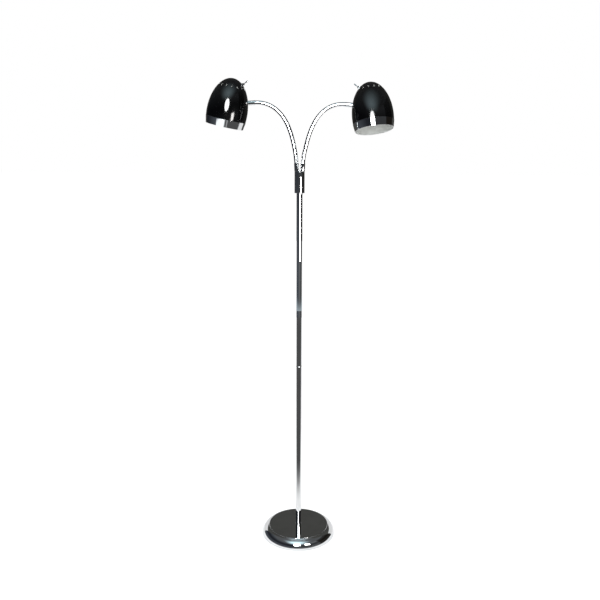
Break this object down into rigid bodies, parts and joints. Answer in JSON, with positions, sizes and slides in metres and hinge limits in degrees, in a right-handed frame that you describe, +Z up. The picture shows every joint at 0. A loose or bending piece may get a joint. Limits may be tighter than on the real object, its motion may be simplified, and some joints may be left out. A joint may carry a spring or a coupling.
{
  "type": "floor lamp",
  "caption": "Slim chrome floor lamp on a round weighted base, its two goosenecks carrying black bullet shades that bend, swivel and switch on their own.",
  "frame": {"origin": "centre of the base's underside, on the floor under the pole", "axes": "+Z up along the pole, +X to the right-hand shade seen from the front, +Y to the back"},
  "size_m": [0.5903, 0.2556, 1.5361],
  "materials": {
    "mirror_chrome": "mirror-bright chrome plate on spun steel",
    "bright_chrome": "bright chrome plate with faint drawing lines",
    "gooseneck_chrome": "bright chrome plate on wound steel strip",
    "black_enamel": "gloss black stove enamel outside, white enamel inside",
    "cast_iron": "raw sand casting",
    "steel": "zinc-plated steel",
    "felt": "pressed black felt",
    "black_plastic": "moulded black plastic",
    "white_plastic": "white moulded heat-proof plastic",
    "flex_sheath": "smooth sheath",
    "bulb_glass": "inside-frosted white glass",
    "bulb_cap_metal": "plated brass thread"
  },
  "bodies": {
    "stand": {"base_cover": "mirror_chrome", "base_weight": "cast_iron", "base_pad": "felt", "base_stud": "steel", "base_washer": "steel", "base_nut": "steel", "cord_bushing": "black_plastic", "pole_foot_ring": "bright_chrome", "pole_lower": "bright_chrome", "pole_coupling": "steel", "pole_joint_ring": "bright_chrome", "pole_upper": "bright_chrome", "pole_flex": "flex_sheath", "block_housing": "bright_chrome", "block_stud": "steel", "block_cap": "bright_chrome", "ferrule_nuts": "steel", "splice_caps": "black_plastic", "lower_ferrules": "bright_chrome", "left_neck_link_1": "gooseneck_chrome", "right_neck_link_1": "gooseneck_chrome"},
    "left_neck_2": {"left_neck_link_2": "gooseneck_chrome"},
    "left_neck_3": {"left_neck_link_3": "gooseneck_chrome"},
    "left_neck_4": {"left_neck_link_4": "gooseneck_chrome"},
    "left_neck_5": {"left_neck_link_5": "gooseneck_chrome"},
    "left_neck_6": {"left_neck_link_6": "gooseneck_chrome"},
    "left_neck_7": {"left_neck_link_7": "gooseneck_chrome", "left_tip_ferrule": "bright_chrome", "left_swivel_nipple": "steel", "left_swivel_nut": "steel"},
    "left_head": {"left_shade": "black_enamel", "left_rim_ring": "bright_chrome", "left_holder_strap": "steel", "left_strap_screws": "steel", "left_lampholder": "white_plastic", "left_bulb_glass": "bulb_glass", "left_bulb_cap": "bulb_cap_metal", "left_switch_body": "black_plastic", "left_switch_nut": "bright_chrome"},
    "left_lever": {"left_switch_lever": "bright_chrome"},
    "right_neck_2": {"right_neck_link_2": "gooseneck_chrome"},
    "right_neck_3": {"right_neck_link_3": "gooseneck_chrome"},
    "right_neck_4": {"right_neck_link_4": "gooseneck_chrome"},
    "right_neck_5": {"right_neck_link_5": "gooseneck_chrome"},
    "right_neck_6": {"right_neck_link_6": "gooseneck_chrome"},
    "right_neck_7": {"right_neck_link_7": "gooseneck_chrome", "right_tip_ferrule": "bright_chrome", "right_swivel_nipple": "steel", "right_swivel_nut": "steel"},
    "right_head": {"right_shade": "black_enamel", "right_rim_ring": "bright_chrome", "right_holder_strap": "steel", "right_strap_screws": "steel", "right_lampholder": "white_plastic", "right_bulb_glass": "bulb_glass", "right_bulb_cap": "bulb_cap_metal", "right_switch_body": "black_plastic", "right_switch_nut": "bright_chrome"},
    "right_lever": {"right_switch_lever": "bright_chrome"}
  },
  "joints": [
    {"name": "left_arm_bend", "type": "hinge", "parent": "stand", "child": "left_neck_2", "pos_m": [-0.01465, 0, 1.31255], "axis": [0, -1, 0], "range_deg": [-14, 20]},
    {"name": "left_arm_sway", "type": "hinge", "parent": "left_neck_2", "child": "left_neck_3", "pos_m": [-0.02209, 0, 1.34756], "axis": [0.9703, 0, 0.2419], "range_deg": [-12, 12]},
    {"name": "left_bend_mid", "type": "hinge", "parent": "left_neck_3", "child": "left_neck_4", "pos_m": [-0.03285, 0, 1.38168], "axis": [0, -1, 0], "range_deg": [-14, 20]},
    {"name": "left_sway_mid", "type": "hinge", "parent": "left_neck_4", "child": "left_neck_5", "pos_m": [-0.04921, 0, 1.41344], "axis": [0.8339, 0, 0.5519], "range_deg": [-12, 12]},
    {"name": "left_bend_tip", "type": "hinge", "parent": "left_neck_5", "child": "left_neck_6", "pos_m": [-0.07308, 0, 1.43995], "axis": [0, -1, 0], "range_deg": [-14, 20]},
    {"name": "left_sway_tip", "type": "hinge", "parent": "left_neck_6", "child": "left_neck_7", "pos_m": [-0.10428, 0, 1.45707], "axis": [0.309, 0, 0.9511], "range_deg": [-12, 12]},
    {"name": "left_head_swivel", "type": "hinge", "parent": "left_neck_7", "child": "left_head", "pos_m": [-0.16354, 0, 1.46046], "axis": [-0.9986, 0, -0.0523], "range_deg": [-37, 43]},
    {"name": "left_switch_toggle", "type": "hinge", "parent": "left_head", "child": "left_lever", "pos_m": [-0.17549, -0.00309, 1.51704], "axis": [-0.5603, -0.0463, 0.827], "range_deg": [0, 25]},
    {"name": "right_arm_bend", "type": "hinge", "parent": "stand", "child": "right_neck_2", "pos_m": [0.01545, 0, 1.31152], "axis": [0, 1, 0], "range_deg": [-14, 20]},
    {"name": "right_arm_sway", "type": "hinge", "parent": "right_neck_2", "child": "right_neck_3", "pos_m": [0.02389, 0, 1.34538], "axis": [0.9659, 0, -0.2588], "range_deg": [-12, 12]},
    {"name": "right_bend_mid", "type": "hinge", "parent": "right_neck_3", "child": "right_neck_4", "pos_m": [0.03496, 0, 1.37845], "axis": [0, 1, 0], "range_deg": [-14, 20]},
    {"name": "right_sway_mid", "type": "hinge", "parent": "right_neck_4", "child": "right_neck_5", "pos_m": [0.05092, 0, 1.40944], "axis": [0.8434, 0, -0.5373], "range_deg": [-12, 12]},
    {"name": "right_bend_tip", "type": "hinge", "parent": "right_neck_5", "child": "right_neck_6", "pos_m": [0.07395, 0, 1.43547], "axis": [0, 1, 0], "range_deg": [-14, 20]},
    {"name": "right_sway_tip", "type": "hinge", "parent": "right_neck_6", "child": "right_neck_7", "pos_m": [0.10443, 0, 1.45202], "axis": [0.3007, 0, -0.9537], "range_deg": [-12, 12]},
    {"name": "right_head_swivel", "type": "hinge", "parent": "right_neck_7", "child": "right_head", "pos_m": [0.16281, 0, 1.4537], "axis": [-0.9962, 0, 0.0872], "range_deg": [-52, 28]},
    {"name": "right_switch_toggle", "type": "hinge", "parent": "right_head", "child": "right_lever", "pos_m": [0.18002, 0.01205, 1.50767], "axis": [0.6356, 0.1754, 0.7519], "range_deg": [0, 25]}
  ],
  "couplings": [
    {"joint": "left_bend_mid", "follows": "left_arm_bend", "ratio": 1},
    {"joint": "left_bend_tip", "follows": "left_arm_bend", "ratio": 1},
    {"joint": "left_sway_mid", "follows": "left_arm_sway", "ratio": 1},
    {"joint": "left_sway_tip", "follows": "left_arm_sway", "ratio": 1},
    {"joint": "right_bend_mid", "follows": "right_arm_bend", "ratio": 1},
    {"joint": "right_bend_tip", "follows": "right_arm_bend", "ratio": 1},
    {"joint": "right_sway_mid", "follows": "right_arm_sway", "ratio": 1},
    {"joint": "right_sway_tip", "follows": "right_arm_sway", "ratio": 1}
  ]
}
